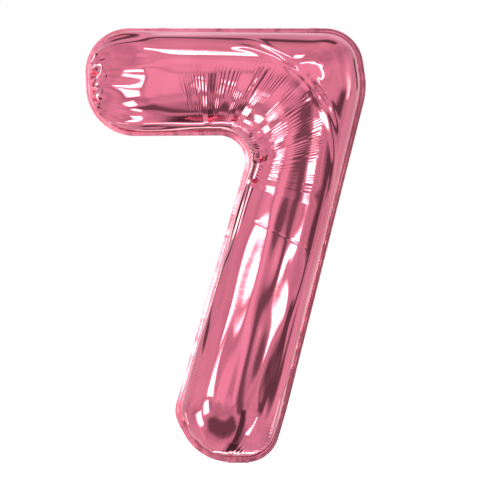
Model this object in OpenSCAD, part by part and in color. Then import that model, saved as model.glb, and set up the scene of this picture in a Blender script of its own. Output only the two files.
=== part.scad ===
// Foil number balloon: the numeral seven, inflated.
// Two metallised film panels are heat sealed along a flat flange. A flat self-sealing
// valve lies between them at the foot, in a tail that is folded up behind the balloon.
// Two punched tabs on the top edge hang the balloon up.
// X runs to the numeral's right, Z up, and the front faces -Y. The origin is the middle
// of the neck, on the flange's edge, where the tail folds.

/* [Numeral] */
// Height of the inflated numeral, over the flanges
numeral_h = 860; // [820:5:900]
// Height of the top bar, over the flanges
bar_h = 214; // [200:2:226]
// Reach of the bar's upper left corner from the neck
bar_left = 307; // [290:1:325]
// Reach of the upper right corner from the neck
bar_right = 237; // [225:1:250]
// Reach of the outer shoulder, below the upper right corner
shoulder_reach = 255; // [250:1:265]
// Reach of the foot's left side from the neck
foot_left = 130; // [124:1:136]
// Reach of the foot's right side from the neck
foot_right = 95; // [90:1:100]
// Radius of the sharp inner corner under the bar
nook_r = 52; // [44:1:60]

/* [Film] */
// Width of the sealed flange all round
flange_w = 10; // [7:0.5:12]
// Thickness that each film panel is drawn at
film_t = 0.6; // [0.5:0.1:0.8]
// Thickness of the fused band between the panels
seal_t = 0.4; // [0.4:0.1:0.6]
// Radius of the inflated tube
tube_r = 97; // [92:1:104]

/* [Tail and valve] */
// Width of the tail
tail_w = 42; // [36:1:50]
// Length of the tail
tail_len = 95; // [70:5:110]
// Width of the sealed edge along each side of the tail
tail_seam_w = 5; // [4:0.5:6]
// Width of the valve's two films
valve_w = 30; // [26:1:31]
// Length of the valve inside the balloon
sleeve_len = 95; // [60:5:120]
// Length of the valve inside the tail
mouth_len = 55; // [45:5:60]
// Radius of the hole that the inflating straw goes through
inlet_r = 4; // [3:0.5:5]
// Distance of that hole from the fold, along the tail
inlet_reach = 66; // [64:1:68]

/* [Hanging tabs] */
// Distance of each tab from the neck's line
tab_x = 150; // [120:5:160]
// Width of a tab
tab_w = 16; // [14:1:20]
// Length of a tab
tab_len = 18; // [16:1:22]
// Radius of the punched hole in a tab
tab_hole_r = 2.5; // [2:0.25:3]

/* [Hidden] */

foil_colour = [0.82, 0.43, 0.52];
seal_colour = [0.88, 0.60, 0.67];
valve_colour = [0.90, 0.92, 0.94];
print_colour = [0.75, 0.78, 0.82];

// The numeral's corners, each x, z and radius
BAR_TOP_LEFT = [-bar_left, numeral_h, 87];
BAR_TOP_RIGHT = [bar_right, numeral_h, 76];
SHOULDER = [shoulder_reach, numeral_h - 120, 139];
FOOT_RIGHT = [foot_right, 102, 600];
FOOT_BASE_RIGHT = [65, 0, 67];
FOOT_BASE_LEFT = [-78, 0, 107];
FOOT_LEFT = [-foot_left, 97, 59];
NOOK = [31, numeral_h - bar_h + 2, nook_r];
BAR_BOTTOM_LEFT = [9 - bar_left, numeral_h - bar_h, 98];

// Depth that the film gains at the corner, for each millimetre that the corner is wider than the tube
corner_swell = 0.55;

// Steps of an arc, steps along each stretch of the tube, and steps across it
ARC_STEPS = 12;
STRETCH_STEPS = [4, 14, 18, 28, 5];
ACROSS = 14;
ALONG = STRETCH_STEPS[0] + STRETCH_STEPS[1] + STRETCH_STEPS[2] + STRETCH_STEPS[3] + STRETCH_STEPS[4];
// Stations over which the rows straighten from a round end
END_STEPS = 8;

film_gap = 0.1;
film_t_valve = (seal_t - film_gap) / 2;
fold_drop = 1.2;
tail_r = tube_r + flange_w + fold_drop;
tail_angle = tail_len / tail_r * 180 / PI;
mouth_angle = mouth_len / tail_r * 180 / PI;
inlet_angle = inlet_reach / tail_r * 180 / PI;
tab_t = 0.8;
tab_lift = 0.6;
tab_corner_r = 5;
tab_hole_reach = tab_len - 8;
print_w = 24;
print_len = 14;
$fn = 48;

// ---- plane geometry of the outline, in x and z ----

function unit(v) = v / norm(v);
function xz(p) = [p[0], p[1]];
function turned(v, a) = [v[0] * cos(a) - v[1] * sin(a), v[0] * sin(a) + v[1] * cos(a)];
function lerp(a, b, f) = a + (b - a) * f;

// The rounded corner c between the corners p and q
function corner_arc(p, c, q) =
    let (
        a = unit(xz(p) - xz(c)),
        b = unit(xz(q) - xz(c)),
        half = acos(a * b) / 2,
        centre = xz(c) + unit(a + b) * c[2] / sin(half),
        start = xz(c) + a * c[2] / tan(half) - centre,
        way = sign(cross(a, b)) * (half - 90) * 2
    )
    [for (i = [0 : ARC_STEPS]) centre + turned(start, way * i / ARC_STEPS)];

function first_half(arc) = [for (i = [0 : ARC_STEPS / 2]) arc[i]];
function last_half(arc) = [for (i = [ARC_STEPS / 2 : ARC_STEPS]) arc[i]];
function first(line) = line[0];
function last(line) = line[len(line) - 1];
function reversed(line) = [for (i = [len(line) - 1 : -1 : 0]) line[i]];

// Lengths from a line's start to each of its points
function lengths(line, i = 0, so_far = 0, found = []) =
    i == len(line) - 1
        ? concat(found, so_far)
        : lengths(line, i + 1, so_far + norm(line[i + 1] - line[i]), concat(found, so_far));

// The point of a line at a distance from its start
function point_at(line, marks, distance, i = 0) =
    distance <= marks[i + 1] || i == len(line) - 2
        ? lerp(line[i], line[i + 1], min(1, (distance - marks[i]) / (marks[i + 1] - marks[i])))
        : point_at(line, marks, distance, i + 1);

// Points of a line at the given fractions of its length
function spaced(line, fractions) =
    let (marks = lengths(line))
    [for (f = fractions) point_at(line, marks, f * last(marks))];

// Foot of the perpendicular from p on the line through a and b
function square_on(p, a, b) = a + unit(b - a) * ((p - a) * unit(b - a));

arc_bar_top = corner_arc(BAR_BOTTOM_LEFT, BAR_TOP_LEFT, BAR_TOP_RIGHT);
arc_top_right = corner_arc(BAR_TOP_LEFT, BAR_TOP_RIGHT, SHOULDER);
arc_shoulder = corner_arc(BAR_TOP_RIGHT, SHOULDER, FOOT_RIGHT);
arc_foot_right = corner_arc(SHOULDER, FOOT_RIGHT, FOOT_BASE_RIGHT);
arc_base_right = corner_arc(FOOT_RIGHT, FOOT_BASE_RIGHT, FOOT_BASE_LEFT);
arc_base_left = corner_arc(FOOT_BASE_RIGHT, FOOT_BASE_LEFT, FOOT_LEFT);
arc_foot_left = corner_arc(FOOT_BASE_LEFT, FOOT_LEFT, NOOK);
arc_nook = corner_arc(FOOT_LEFT, NOOK, BAR_BOTTOM_LEFT);
arc_bar_bottom = corner_arc(NOOK, BAR_BOTTOM_LEFT, BAR_TOP_LEFT);

// Where the bar's straight top and the stem's right side lie square across from the nook
over_nook = [last(arc_nook)[0], numeral_h];
beside_nook = square_on(first(arc_nook), xz(SHOULDER), xz(FOOT_RIGHT));

// The outline's two long sides, in matching stretches from the bar's end to the foot's
OUTER = [
    last_half(arc_bar_top),
    [last(arc_bar_top), over_nook],
    concat([over_nook], arc_top_right, arc_shoulder, [beside_nook]),
    concat([beside_nook], arc_foot_right, [first(arc_base_right)]),
    first_half(arc_base_right)
];
INNER = [
    reversed(first_half(arc_bar_bottom)),
    [first(arc_bar_bottom), last(arc_nook)],
    reversed(arc_nook),
    concat([first(arc_nook)], reversed(arc_foot_left), [last(arc_base_left)]),
    reversed(last_half(arc_base_left))
];
// Its two ends, both from the outer side to the inner
BAR_END = concat(reversed(first_half(arc_bar_top)), reversed(last_half(arc_bar_bottom)));
FOOT_END = concat(last_half(arc_base_right), first_half(arc_base_left));

function even(n) = [for (i = [0 : n]) i / n];
// Fractions across the tube, closer together near the seams
function across_at(i) = (1 - cos(180 * i / ACROSS)) / 2;
ACROSS_AT = [for (i = [0 : ACROSS]) across_at(i)];

// One long side in its stations, each stretch without its last point
function side_points(stretches) =
    [for (s = [0 : 4]) let (points = spaced(stretches[s], even(STRETCH_STEPS[s])))
        for (i = [0 : STRETCH_STEPS[s] - 1]) points[i]];

// The flange's edge, clockwise from the bar's upper left, as seen from the front
EDGE = concat(
    side_points(OUTER),
    [for (i = [0 : ACROSS - 1]) spaced(FOOT_END, ACROSS_AT)[i]],
    reversed(concat([for (i = [1 : ALONG - 1]) side_points(INNER)[i]], [last(FOOT_END)])),
    reversed([for (i = [1 : ACROSS]) spaced(BAR_END, ACROSS_AT)[i]])
);
RING = len(EDGE);

// A ring moved inwards by a width
function inset(ring, w) =
    [for (i = [0 : RING - 1])
        let (
            way = unit(ring[(i + 1) % RING] - ring[i]) + unit(ring[i] - ring[(i + RING - 1) % RING]),
            inward = unit([way[1], -way[0]])
        )
        ring[i] + inward * w];

// ---- the inflated surface ----

// The four sides of the grid, read from a ring
function outer_at(ring, j) = ring[j];
function inner_at(ring, j) = ring[(2 * ALONG + ACROSS - j) % RING];
function foot_at(ring, i) = ring[ALONG + i];
function bar_at(ring, i) = ring[(2 * ALONG + 2 * ACROSS - i) % RING];
function fade(steps) = pow(max(0, 1 - steps / END_STEPS), 2);

// Grid point i across and j along, inside a ring
function grid_point(ring, i, j) =
    let (f = ACROSS_AT[i])
    lerp(outer_at(ring, j), inner_at(ring, j), f)
        + (bar_at(ring, i) - lerp(outer_at(ring, 0), inner_at(ring, 0), f)) * fade(j)
        + (foot_at(ring, i) - lerp(outer_at(ring, ALONG), inner_at(ring, ALONG), f)) * fade(ALONG - j);

function gap_to(p, a, b) = norm(p - lerp(a, b, max(0, min(1, (p - a) * (b - a) / ((b - a) * (b - a))))));
function gap_to_ring(p, ring) = min([for (i = [0 : RING - 1]) gap_to(p, ring[i], ring[(i + 1) % RING])]);

// Height of the round surface over a point that is a distance from the seam
function crown(d) = d >= tube_r
    ? tube_r + corner_swell * (d - tube_r)
    : sqrt(max(0, d * (2 * tube_r - d)));

function on_rim(i, j) = i == 0 || j == 0 || i == ACROSS || j == ALONG;

// One skin of the front panel, as points in space
function skin(ring, seam_y) =
    [for (j = [0 : ALONG]) for (i = [0 : ACROSS])
        let (p = grid_point(ring, i, j))
        [p[0], seam_y - (on_rim(i, j) ? 0 : crown(gap_to_ring(p, ring))), p[1]]];

// Place in a skin's list of each point on its rim, in the ring's order
RIM = concat(
    [for (j = [0 : ALONG - 1]) j * (ACROSS + 1)],
    [for (i = [0 : ACROSS - 1]) ALONG * (ACROSS + 1) + i],
    [for (j = [ALONG : -1 : 1]) j * (ACROSS + 1) + ACROSS],
    [for (i = [ACROSS : -1 : 1]) i]
);
SKIN = (ALONG + 1) * (ACROSS + 1);

function skin_faces(first_point, outward) =
    [for (j = [0 : ALONG - 1]) for (i = [0 : ACROSS - 1]) for (k = [0, 1])
        let (
            a = first_point + j * (ACROSS + 1) + i,
            b = a + 1,
            c = a + ACROSS + 2,
            d = a + ACROSS + 1,
            tri = k == 0 ? [a, b, c] : [a, c, d]
        )
        outward ? reversed(tri) : tri];

function band_faces(from, to) =
    [for (i = [0 : RING - 1]) for (k = [0, 1])
        let (n = (i + 1) % RING)
        k == 0 ? [from[i], to[n], from[n]] : [from[i], to[i], to[n]]];

function placed(ring, y) = [for (p = ring) [p[0], y, p[1]]];
function numbered(start) = [for (i = [0 : RING - 1]) start + i];

// The front panel: an outer skin, an inner skin and the flat flange round both
module panel() {
    points = concat(
        skin(inset(EDGE, flange_w), -seal_t / 2 - film_t),
        skin(inset(EDGE, flange_w + film_t), -seal_t / 2),
        placed(EDGE, -seal_t / 2 - film_t),
        placed(EDGE, -seal_t / 2)
    );
    outer_rim = RIM;
    inner_rim = [for (i = RIM) i + SKIN];
    outer_edge = numbered(2 * SKIN);
    inner_edge = numbered(2 * SKIN + RING);
    polyhedron(points, concat(
        skin_faces(0, true),
        skin_faces(SKIN, false),
        band_faces(outer_rim, outer_edge),
        band_faces(outer_edge, inner_edge),
        band_faces(inner_edge, inner_rim)
    ), convexity = 8);
}

module front_foil() {
    color(foil_colour) panel();
}

module back_foil() {
    color(foil_colour) mirror([0, 1, 0]) panel();
}

// Stands a flat shape up in the seam's plane, from y1 back to y2
module upright(y1, y2) {
    translate([0, y2, 0]) rotate([90, 0, 0]) linear_extrude(height = y2 - y1) children();
}

// A flat rectangle, w wide about the neck's line, from z1 up to z2
module strip(w, z1, z2) {
    translate([-w / 2, z1]) square([w, z2 - z1]);
}

// The fused band between the flanges, open at the neck for the valve
module seam_seal() {
    color(seal_colour) upright(-seal_t / 2, seal_t / 2) difference() {
        polygon(EDGE);
        polygon(inset(EDGE, flange_w));
        strip(valve_w + film_gap, -flange_w, 2 * flange_w);
    }
}

module valve_sleeve_front() {
    color(valve_colour) upright(-seal_t / 2, -film_gap / 2) strip(valve_w, 1, sleeve_len);
}

module valve_sleeve_back() {
    color(valve_colour) upright(film_gap / 2, seal_t / 2) strip(valve_w, 1, sleeve_len);
}

// Heat-proof ink that keeps the valve open where the seam crosses it
module valve_release_print() {
    color(print_colour) upright(-film_gap / 2, film_gap / 2) strip(print_w, 1, 1 + print_len);
}

// ---- the tail, curved up behind the foot ----

// Turns a shape made about +Z, starting along +X, to the tail's curve, which starts at the fold
module on_tail() {
    translate([0, 0, tail_r - fold_drop]) rotate([0, 90, 0]) children();
}

// A strip of the tail between two distances out from its middle layer and two angles
module tail_strip(w, low, high, end_angle, x = 0) {
    on_tail() translate([0, 0, x]) rotate_extrude(angle = end_angle, $fn = 96)
        translate([tail_r + low, -w / 2]) square([high - low, w]);
}

module tail_back_foil() {
    color(foil_colour) tail_strip(tail_w, -seal_t / 2 - film_t, -seal_t / 2, tail_angle);
}

// The outer layer of the folded tail, with the hole for the straw
module tail_front_foil() {
    color(foil_colour) difference() {
        tail_strip(tail_w, seal_t / 2, seal_t / 2 + film_t, tail_angle);
        on_tail() rotate([0, 0, inlet_angle]) translate([tail_r, 0, 0])
            rotate([0, 90, 0]) cylinder(h = 4, r = inlet_r, center = true);
    }
}

module tail_seal() {
    color(seal_colour) for (side = [-1, 1])
        tail_strip(tail_seam_w, -seal_t / 2, seal_t / 2, tail_angle, side * (tail_w - tail_seam_w) / 2);
}

module valve_mouth_front() {
    color(valve_colour) tail_strip(valve_w, film_gap / 2, seal_t / 2, mouth_angle);
}

module valve_mouth_back() {
    color(valve_colour) tail_strip(valve_w, -seal_t / 2, -film_gap / 2, mouth_angle);
}

// ---- hanging tabs, folded back along the top edge ----

module hang_tab(x) {
    color(foil_colour) translate([x, 0, numeral_h + tab_lift - tab_t / 2]) linear_extrude(height = tab_t)
        difference() {
            union() {
                translate([-tab_w / 2, 0]) square([tab_w, tab_len - tab_corner_r]);
                translate([tab_corner_r - tab_w / 2, 0]) square([tab_w - 2 * tab_corner_r, tab_len]);
                for (side = [-1, 1])
                    translate([side * (tab_w / 2 - tab_corner_r), tab_len - tab_corner_r]) circle(tab_corner_r);
            }
            translate([0, tab_hole_reach]) circle(tab_hole_r);
        }
}

module hang_tab_left() {
    hang_tab(-tab_x);
}

module hang_tab_right() {
    hang_tab(tab_x);
}

front_foil();
back_foil();
seam_seal();
valve_sleeve_front();
valve_sleeve_back();
valve_release_print();
tail_front_foil();
tail_back_foil();
tail_seal();
valve_mouth_front();
valve_mouth_back();
hang_tab_left();
hang_tab_right();
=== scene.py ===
"""Foil number balloon, the numeral seven: metallised film held round by gas, sealed along a flat flange.

The film is inflated by a position-based simulation on a grid that runs along and across the numeral's tube.
Lengths inside the film code are millimetres; every mesh is made in metres, in the frame's own axes.
"""
import math

import bmesh
import bpy
import numpy as np
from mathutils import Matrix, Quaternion, Vector


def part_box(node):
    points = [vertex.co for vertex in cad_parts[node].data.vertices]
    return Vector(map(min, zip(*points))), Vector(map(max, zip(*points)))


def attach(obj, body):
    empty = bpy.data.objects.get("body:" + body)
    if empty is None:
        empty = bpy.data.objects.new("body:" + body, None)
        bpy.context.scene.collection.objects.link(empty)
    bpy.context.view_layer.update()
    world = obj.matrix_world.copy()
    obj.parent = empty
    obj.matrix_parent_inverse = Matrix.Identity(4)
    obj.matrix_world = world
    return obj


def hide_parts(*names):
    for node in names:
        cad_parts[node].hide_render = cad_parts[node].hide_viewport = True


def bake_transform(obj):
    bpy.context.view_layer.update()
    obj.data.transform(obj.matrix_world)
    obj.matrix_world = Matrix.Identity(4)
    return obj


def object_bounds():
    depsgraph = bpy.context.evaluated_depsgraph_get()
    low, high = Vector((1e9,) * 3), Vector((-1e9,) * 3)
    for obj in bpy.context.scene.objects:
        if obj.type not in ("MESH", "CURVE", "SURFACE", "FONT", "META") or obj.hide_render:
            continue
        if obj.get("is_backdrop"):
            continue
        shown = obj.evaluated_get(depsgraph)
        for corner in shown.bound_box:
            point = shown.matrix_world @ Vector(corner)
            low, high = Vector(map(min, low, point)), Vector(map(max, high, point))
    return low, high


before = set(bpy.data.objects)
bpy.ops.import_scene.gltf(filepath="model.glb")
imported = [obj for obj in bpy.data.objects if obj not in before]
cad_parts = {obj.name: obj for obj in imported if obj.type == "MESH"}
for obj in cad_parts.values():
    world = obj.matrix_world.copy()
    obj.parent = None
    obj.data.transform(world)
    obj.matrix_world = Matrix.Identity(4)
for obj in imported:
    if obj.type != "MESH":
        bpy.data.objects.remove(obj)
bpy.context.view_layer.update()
MM = 0.001
F = np.float32

# ---------------------------------------------------------------- sizes, from the frame

HEIGHT = float(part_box("front_foil")[1][2]) / MM
FLANGE = 10.0
BAR_H = 214.0
TUBE_R = BAR_H / 2 - FLANGE

# The numeral's corners, clockwise seen from the front: x, z and radius on the flange's edge
CORNERS = {
    "bar_top_left": (-307.0, HEIGHT, 87.0),
    "bar_top_right": (237.0, HEIGHT, 76.0),
    "shoulder": (255.0, HEIGHT - 120, 139.0),
    "foot_right": (95.0, 102.0, 600.0),
    "base_right": (65.0, 0.0, 67.0),
    "base_left": (-78.0, 0.0, 107.0),
    "foot_left": (-130.0, 97.0, 59.0),
    "nook": (31.0, HEIGHT - BAR_H + 2, 52.0),
    "bar_bottom_left": (-298.0, HEIGHT - BAR_H, 98.0),
}
NAMES = list(CORNERS)
# How far the flat film reaches past the inflated outline, edge by edge, and its corner radii
FLAT_SIDE, FLAT_END = 112.0, 36.0
FLAT_MOVES = {
    "bar_top_left": FLAT_SIDE, "bar_top_right": FLAT_SIDE, "shoulder": FLAT_SIDE, "foot_right": FLAT_SIDE,
    "base_right": FLAT_END, "base_left": FLAT_END, "bar_bottom_left": FLAT_END, "foot_left": 0, "nook": 0,
}
FLAT_RADII = {
    "bar_top_left": 120, "bar_top_right": 150, "shoulder": 139, "foot_right": 500, "base_right": 100,
    "base_left": 150, "foot_left": 90, "nook": 52, "bar_bottom_left": 110,
}
BAR_RUN, STEM_RUN = 160.0, 470.0        # straight lengths of the inner seam either side of the nook
FAN_INNER, FAN_BAR, FAN_STEM = 45.0, 110.0, 95.0    # how far the fan of stations opens past the nook
STATIONS = (6, 8, 44, 32, 6)            # coarsest steps along: bar's end, bar, fan, stem, foot's end
ACROSS = 20                             # coarsest steps across
END_STEPS = 8                           # coarsest steps over which the round ends blend in
NOOK_DEPTH = 0.97                       # of the nook's centre beyond its arc's middle points, in radii

# ---------------------------------------------------------------- camera

VIEW_WIDTH = 0.9512         # metres seen across at the numeral's plane
CAMERA_AWAY = 3.2
CAMERA_AT = Vector((0.003, -CAMERA_AWAY, 0.4405))


def make_camera():
    data = bpy.data.cameras.new("camera")
    data.sensor_width = 36.0
    data.lens = 36.0 * CAMERA_AWAY / VIEW_WIDTH
    data.clip_end = 60
    cam = bpy.data.objects.new("camera", data)
    cam.location = CAMERA_AT
    cam.rotation_euler = (math.pi / 2, 0, 0)
    bpy.context.collection.objects.link(cam)
    bpy.context.scene.camera = cam


make_camera()

# ---------------------------------------------------------------- plane curves


def unit(v):
    return v / np.linalg.norm(v)


def corner_arc(before, corner, after, radius, steps=64):
    """Points of the round corner between two straight edges."""
    a, b = unit(before - corner), unit(after - corner)
    half = math.acos(float(a @ b)) / 2
    centre = corner + unit(a + b) * radius / math.sin(half)
    start = corner + a * radius / math.tan(half) - centre
    way = np.sign(a[0] * b[1] - a[1] * b[0]) * (2 * half - math.pi)
    t = np.linspace(0, way, steps + 1)[:, None]
    across = start[0] * np.cos(t) - start[1] * np.sin(t)
    up = start[0] * np.sin(t) + start[1] * np.cos(t)
    return centre + np.hstack([across, up])


def moved_corners(points, moves):
    """The corners after each edge, from corner i to the next, moves outwards by its own distance."""
    out = []
    for i, here in enumerate(points):
        before = unit(here - points[i - 1])
        after = unit(points[(i + 1) % len(points)] - here)
        normals = np.array([[-before[1], before[0]], [-after[1], after[0]]])
        out.append(np.linalg.solve(normals, normals @ here + np.array([moves[i - 1], moves[i]])))
    return out


def lengths(line):
    return np.concatenate([[0], np.cumsum(np.linalg.norm(np.diff(line, axis=0), axis=1))])


def at(line, distance):
    marks = lengths(line)
    return np.stack([np.interp(distance, marks, line[:, k]) for k in range(line.shape[1])], -1)


def nearest(line, point):
    """Distance along a line of its point nearest to another."""
    step = line[1:] - line[:-1]
    t = np.clip(((point - line[:-1]) * step).sum(1) / (step * step).sum(1), 0, 1)
    k = int(np.argmin(np.linalg.norm(line[:-1] + step * t[:, None] - point, axis=1)))
    return lengths(line)[k] + t[k] * np.linalg.norm(step[k])


def outline(points, radii):
    """The seam of a rounded outline in four sides, with the marks that its two long sides share."""
    corner = dict(zip(NAMES, points))
    arcs = {
        name: corner_arc(points[i - 1], points[i], points[(i + 1) % len(points)], radii[i])
        for i, name in enumerate(NAMES)
    }
    loop = np.vstack([arcs[name] for name in NAMES] + [arcs[NAMES[0]][:1]])
    edge = at(loop, np.linspace(0, lengths(loop)[-1], 6000, endpoint=False))
    way = np.roll(edge, -1, 0) - np.roll(edge, 1, 0)
    way /= np.linalg.norm(way, axis=1)[:, None]
    inward = np.stack([way[:, 1], -way[:, 0]], 1)
    seam = edge + FLANGE * inward
    middle = {n: int(np.argmin(np.linalg.norm(edge - arcs[n][len(arcs[n]) // 2], axis=1))) for n in NAMES}

    def run(start, end):
        first, last = middle[start], middle[end]
        last += len(seam) if last < first else 0
        return seam[np.arange(first, last + 1) % len(seam)]

    outer = run("bar_top_left", "base_right")
    inner = run("foot_left", "bar_bottom_left")[::-1]
    bar_side, stem_side = arcs["nook"][-1], arcs["nook"][0]
    down = unit(corner["foot_right"] - corner["shoulder"])
    beside = corner["shoulder"] + down * float((stem_side - corner["shoulder"]) @ down)
    over = np.array([bar_side[0], corner["bar_top_left"][1]])
    nook_arc = arcs["nook"].mean(0)
    to_centre = unit(nook_arc - corner["nook"]) * radii[NAMES.index("nook")] * NOOK_DEPTH
    i2, i3 = nearest(inner, bar_side), nearest(inner, stem_side)
    o2, o3 = nearest(outer, over), nearest(outer, beside)
    return {
        "outer": outer,
        "inner": inner,
        "foot": run("base_right", "foot_left"),
        "bar": run("bar_bottom_left", "bar_top_left")[::-1],
        "nook_centre": nook_arc + to_centre,
        "inner_marks": [0, i2 - BAR_RUN, i2 - FAN_INNER, i3 + FAN_INNER, i3 + STEM_RUN, lengths(inner)[-1]],
        "outer_marks": [0, o2 - BAR_RUN, o2 - FAN_BAR, o3 + FAN_STEM, o3 + STEM_RUN, lengths(outer)[-1]],
    }


def marks_filled(marks, level):
    """Station distances along a side, their spacing blended over its marks."""
    counts = [n * 2**level for n in STATIONS]
    gaps = np.concatenate([np.full(n, (b - a) / n) for a, b, n in zip(marks, marks[1:], counts)])
    reach = 6 * 2**level
    weights = np.hanning(2 * reach + 1)
    gaps = np.convolve(np.pad(gaps, reach, mode="edge"), weights / weights.sum(), mode="valid")
    found = np.concatenate([[0], np.cumsum(gaps)])
    return found * marks[-1] / found[-1]


def fractions(level):
    """Fractions across the tube, a little closer together near the seams."""
    t = np.arange(ACROSS * 2**level + 1) / (ACROSS * 2**level)
    return 0.35 * (1 - np.cos(np.pi * t)) / 2 + 0.65 * t


def plane_grid(shape, level, arched=False):
    """Grid inside a seam, stations by fractions. Arched spreads them as on a round tube from the front."""
    outer = at(shape["outer"], marks_filled(shape["outer_marks"], level))[:, None]
    inner = at(shape["inner"], marks_filled(shape["inner_marks"], level))[:, None]
    f = fractions(level)
    bar = at(shape["bar"], f * lengths(shape["bar"])[-1])
    foot = at(shape["foot"], f * lengths(shape["foot"])[-1])
    j = np.arange(len(outer))
    from_bar = np.clip(j / (END_STEPS * 2**level), 0, 1)
    from_foot = np.clip((len(outer) - 1 - j) / (END_STEPS * 2**level), 0, 1)
    u = np.repeat(f[None], len(outer), 0)
    if arched:
        r = 1 - (1 - np.minimum(from_bar, from_foot)[:, None]) ** 2
        u = u * (1 - r) + (1 - np.cos(np.pi * u)) / 2 * r
    grid = outer * (1 - u[..., None]) + inner * u[..., None]
    e = f[:, None]
    grid += ((1 - from_bar) ** 2)[:, None, None] * (bar - outer[0] * (1 - e) - inner[0] * e)
    grid += ((1 - from_foot) ** 2)[:, None, None] * (foot - outer[-1] * (1 - e) - inner[-1] * e)
    return grid


def in_space(grid):
    out = np.zeros(grid.shape[:2] + (3,), F)
    out[..., 0] = grid[..., 0]
    out[..., 2] = grid[..., 1]
    return out


# ---------------------------------------------------------------- inflating the film

CORNER_SWELL = 0.30         # how much of the corner's extra width also deepens it
ROUND_END = 9               # coarsest stations over which an end rounds off
SLACK = 0.0005              # film to spare over the round shape
END_PLEAT = (0.80, 1.00)    # share of round rest lengths at the bar's end and at the foot's
# level of detail, steps, pressure's push, share of speed kept, stiffness against bending
STAGES = ((0, 300, 0.02, 0.97, 0.5), (1, 400, 0.006, 0.975, 0.45), (2, 450, 0.0015, 0.98, 0.4))


def smooth(t):
    t = np.clip(t, 0, 1)
    return t * t * (3 - 2 * t)


def blurred(values, reach):
    weights = np.hanning(2 * reach + 1)
    return np.convolve(np.pad(values, reach, mode="edge"), weights / weights.sum(), mode="valid")


def round_shape(shape, level):
    """The numeral's front as a plain round tube."""
    flat = plane_grid(shape, level, arched=True)
    x = in_space(flat)
    half = np.linalg.norm(flat[:, 0] - flat[:, -1], axis=-1) / 2
    half = np.where(half > TUBE_R, TUBE_R + (half - TUBE_R) * CORNER_SWELL, half)
    half = blurred(half, 6 * 2**level)
    j = np.arange(len(flat))
    from_end = np.minimum(j, len(flat) - 1 - j) / 2**level
    rise = np.sqrt(1 - (1 - np.clip(from_end / ROUND_END, 0, 1)) ** 2)
    x[..., 1] = -(half * rise)[:, None] * np.sin(np.pi * fractions(level))[None]
    return x


def round_share(shape, level, count):
    """How much of each station's rest lengths come from the round shape, and the rest from the flat film."""
    marks = shape["inner_marks"]
    s = marks_filled(marks, level)
    bar_end = smooth(1 - s / (marks[1] + 25))
    foot_end = smooth(1 - (marks[5] - s) / (marks[5] - marks[4] + 25))
    share = 1 - (1 - END_PLEAT[0]) * bar_end - (1 - END_PLEAT[1]) * foot_end
    return np.repeat(share[:, None], count, 1).astype(F)


def doubled(x):
    """The grid at twice the stations both ways."""
    for axis in (0, 1):
        a = np.moveaxis(x, axis, 0)
        out = np.empty((2 * len(a) - 1,) + a.shape[1:], a.dtype)
        out[::2] = a
        p = np.concatenate([2 * a[:1] - a[1:2], a, 2 * a[-1:] - a[-2:-1]])
        out[1::2] = (9 * (p[1:-2] + p[2:-1]) - (p[:-3] + p[3:])) / 16
        x = np.moveaxis(out, 0, axis)
    return x


def link_batches(flat, arch, share, bend):
    """Distance links in batches that use no point twice: along, across, both diagonals and bending."""
    rows, cols = flat.shape[:2]
    free = np.zeros((rows, cols), F)
    free[1:-1, 1:-1] = 1
    out = []

    def add(a, b, pull, push):
        rest_flat = np.linalg.norm(flat[b] - flat[a], axis=-1)
        rest_arch = np.linalg.norm(arch[b] - arch[a], axis=-1)
        m = (share[a] + share[b]) / 2
        rest = rest_flat * (1 - m) + rest_arch * m
        total = np.maximum(free[a] + free[b], 1)
        move_a, move_b = (free[a] / total)[..., None], (free[b] / total)[..., None]
        out.append((a, b, rest, move_a, move_b, F(pull), F(push)))

    for odd in (0, 1):
        add(np.s_[odd : rows - 1 : 2, :], np.s_[odd + 1 : rows : 2, :], 1, 1)
        add(np.s_[:, odd : cols - 1 : 2], np.s_[:, odd + 1 : cols : 2], 1, 1)
        add(np.s_[odd : rows - 1 : 2, : cols - 1], np.s_[odd + 1 : rows : 2, 1:], 1, 1)
        add(np.s_[odd : rows - 1 : 2, 1:], np.s_[odd + 1 : rows : 2, : cols - 1], 1, 1)
    for start in range(4):
        add(np.s_[start : rows - 2 : 4, :], np.s_[start + 2 : rows : 4, :], 0, bend)
        add(np.s_[:, start : cols - 2 : 4], np.s_[:, start + 2 : cols : 4], 0, bend)
    return out


def settle(x, batches):
    for a, b, rest, move_a, move_b, pull, push in batches:
        pa, pb = x[a], x[b]
        d = pb - pa
        length = np.sqrt(np.einsum("ijk,ijk->ij", d, d))
        off = 1 - rest / np.maximum(length, F(1e-6))
        if pull != push:
            off = np.where(off > 0, off * pull, off * push)
        d *= off[..., None]
        x[a] = pa + d * move_a
        x[b] = pb - d * move_b


def area_normals(x):
    """Outward normals of the film, as long as the area that each point stands for."""
    along, over = np.gradient(x, axis=0), np.gradient(x, axis=1)
    return np.cross(over, along)


def inflate_once(x, flat, arch, share, seam, steps, push, kept, bend):
    batches = link_batches(flat, arch, share, bend)
    area = np.linalg.norm(area_normals(flat), axis=-1)[..., None]
    gain = (push / np.maximum(area, area.mean() * 0.15)).astype(F)
    speed = np.zeros_like(x)
    for _ in range(steps):
        before = x.copy()
        x += speed + gain * area_normals(x)
        settle(x, batches)
        np.minimum(x[..., 1], 0, out=x[..., 1])
        for edge in (np.s_[0], np.s_[-1], np.s_[:, 0], np.s_[:, -1]):
            x[edge] = seam[edge]
        speed = (x - before) * F(kept)
    return x


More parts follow.
